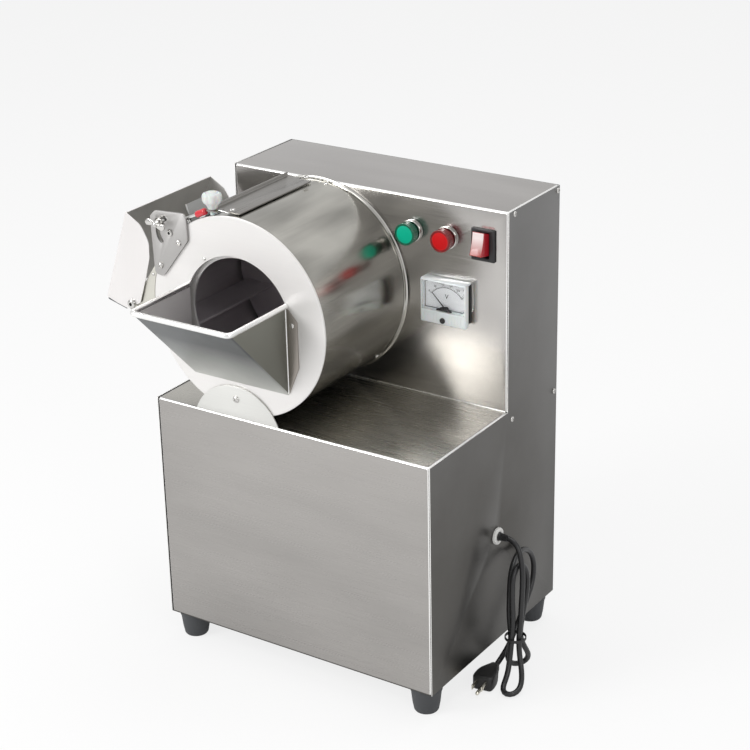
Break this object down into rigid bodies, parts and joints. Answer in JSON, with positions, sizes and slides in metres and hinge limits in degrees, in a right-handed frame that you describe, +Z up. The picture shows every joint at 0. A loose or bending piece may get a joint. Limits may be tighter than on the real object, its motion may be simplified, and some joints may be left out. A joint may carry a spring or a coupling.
{
  "type": "vegetable strip cutting machine",
  "caption": "Bench vegetable strip cutter: drum with feed hopper, swinging knife holder, discharge hood and motor cabinet with switches, meter and mains lead.",
  "frame": {"origin": "on the table under the middle of the machine's box, mains cord not counted", "axes": "+Z up along the cabinet's height, -Y towards the user and the feed hopper, +X to the user's right with the switches and the mains cord"},
  "size_m": [0.5296, 0.414, 0.6236],
  "materials": {
    "stainless_brushed": "brushed stainless sheet",
    "stainless_polished": "bright stainless",
    "bracket_steel": "matt grey stainless",
    "knife_steel": "ground knife steel",
    "cast_metal": "cast aluminium",
    "bearing_steel": "bearing rings",
    "motor_paint": "painted motor casing",
    "red_plastic": "red plastic",
    "green_plastic": "green plastic",
    "clear_plastic": "clear meter front",
    "knob_plastic": "milky translucent plastic",
    "white_plastic": "white plastic",
    "black_plastic": "black plastic",
    "foot_rubber": "dark rubber",
    "belt_rubber": "belt rubber",
    "cord_rubber": "cord sheath"
  },
  "bodies": {
    "root": {"front_deck_panel": "stainless_brushed", "console_panel": "stainless_brushed", "side_panel_left": "stainless_brushed", "side_panel_right": "stainless_brushed", "back_panel": "stainless_brushed", "bottom_panel": "stainless_brushed", "hopper": "stainless_brushed", "drum_shell": "stainless_polished", "drum_front_ring": "stainless_polished", "drum_rear_ring": "stainless_polished", "saddle_bracket": "stainless_polished", "chute_cheek_front": "stainless_polished", "chute_cheek_rear": "stainless_polished", "hood_screw_front": "stainless_polished", "hood_screw_rear": "stainless_polished", "pivot_pin": "stainless_polished", "clamp_strap": "stainless_polished", "adjust_bracket": "bracket_steel", "bearing_housing": "cast_metal", "motor_cradle": "cast_metal", "bearing_front": "bearing_steel", "bearing_rear": "bearing_steel", "motor_body": "motor_paint", "voltmeter_lens": "clear_plastic", "start_button_bezel": "white_plastic", "stop_button_bezel": "white_plastic", "voltmeter_case": "white_plastic", "voltmeter_dial": "white_plastic", "cord_bushing": "white_plastic", "rocker_bezel": "black_plastic", "voltmeter_zero_screw": "black_plastic", "cord_tie": "black_plastic", "plug_body": "black_plastic", "strain_relief": "black_plastic", "foot_front_left": "foot_rubber", "foot_front_right": "foot_rubber", "foot_rear_left": "foot_rubber", "foot_rear_right": "foot_rubber", "drive_belt": "belt_rubber", "power_cord": "cord_rubber"},
    "rotor": {"rotor_disc": "stainless_brushed", "rotor_front_ring": "stainless_polished", "rotor_nut": "stainless_polished", "rotor_shaft": "stainless_polished", "driven_pulley": "cast_metal"},
    "motor_rotor": {"motor_shaft": "stainless_polished", "motor_pulley": "cast_metal"},
    "knife_holder": {"knife_plate": "bracket_steel", "slicing_blade": "knife_steel", "strip_comb": "knife_steel", "lever_rod": "stainless_polished", "lever_grip": "red_plastic"},
    "wing_bolt": {"wing_bolt": "stainless_polished"},
    "clamp_knob": {"clamp_knob": "knob_plastic"},
    "hood": {"discharge_hood": "stainless_brushed"},
    "start_button": {"start_button_cap": "green_plastic"},
    "stop_button": {"stop_button_cap": "red_plastic"},
    "rocker_switch": {"rocker_paddle": "red_plastic"},
    "meter_needle": {"voltmeter_needle": "black_plastic"}
  },
  "joints": [
    {"name": "rotor_spin", "type": "hinge", "parent": "root", "child": "rotor", "pos_m": [-0.034, -0.01, 0.4715], "axis": [0, -1, 0], "continuous": true},
    {"name": "motor_spin", "type": "hinge", "parent": "root", "child": "motor_rotor", "pos_m": [0.036, 0.158, 0.114], "axis": [0, -1, 0], "continuous": true},
    {"name": "knife_swing", "type": "hinge", "parent": "root", "child": "knife_holder", "pos_m": [-0.12774, -0.097, 0.5633], "axis": [0, -1, 0], "range_deg": [0, 70]},
    {"name": "wing_bolt_turn", "type": "hinge", "parent": "knife_holder", "child": "wing_bolt", "pos_m": [-0.14248, -0.0976, 0.57362], "axis": [0, -1, 0], "range_deg": [0, 180]},
    {"name": "clamp_knob_turn", "type": "hinge", "parent": "root", "child": "clamp_knob", "pos_m": [-0.0655, -0.091, 0.6], "axis": [0, 0, 1], "range_deg": [0, 180]},
    {"name": "hood_tilt", "type": "hinge", "parent": "root", "child": "hood", "pos_m": [-0.1947, -0.097, 0.4598], "axis": [0, -1, 0], "range_deg": [0, 60]},
    {"name": "start_press", "type": "slide", "parent": "root", "child": "start_button", "axis": [0, 1, 0], "range_m": [0, 0.003], "stiffness_N_per_m": 300, "springref_m": -0.003},
    {"name": "stop_press", "type": "slide", "parent": "root", "child": "stop_button", "axis": [0, 1, 0], "range_m": [0, 0.003], "stiffness_N_per_m": 300, "springref_m": -0.003},
    {"name": "rocker_tilt", "type": "hinge", "parent": "root", "child": "rocker_switch", "pos_m": [0.2005, 0.086, 0.551], "axis": [1, 0, 0], "range_deg": [0, 30]},
    {"name": "meter_swing", "type": "hinge", "parent": "root", "child": "meter_needle", "pos_m": [0.152, 0.0775, 0.462], "axis": [0, 1, 0], "range_deg": [0, 90], "stiffness_Nm_per_rad": 0.00005, "springref_deg": -8.59}
  ],
  "couplings": [
    {"joint": "motor_spin", "follows": "rotor_spin", "ratio": 2}
  ]
}
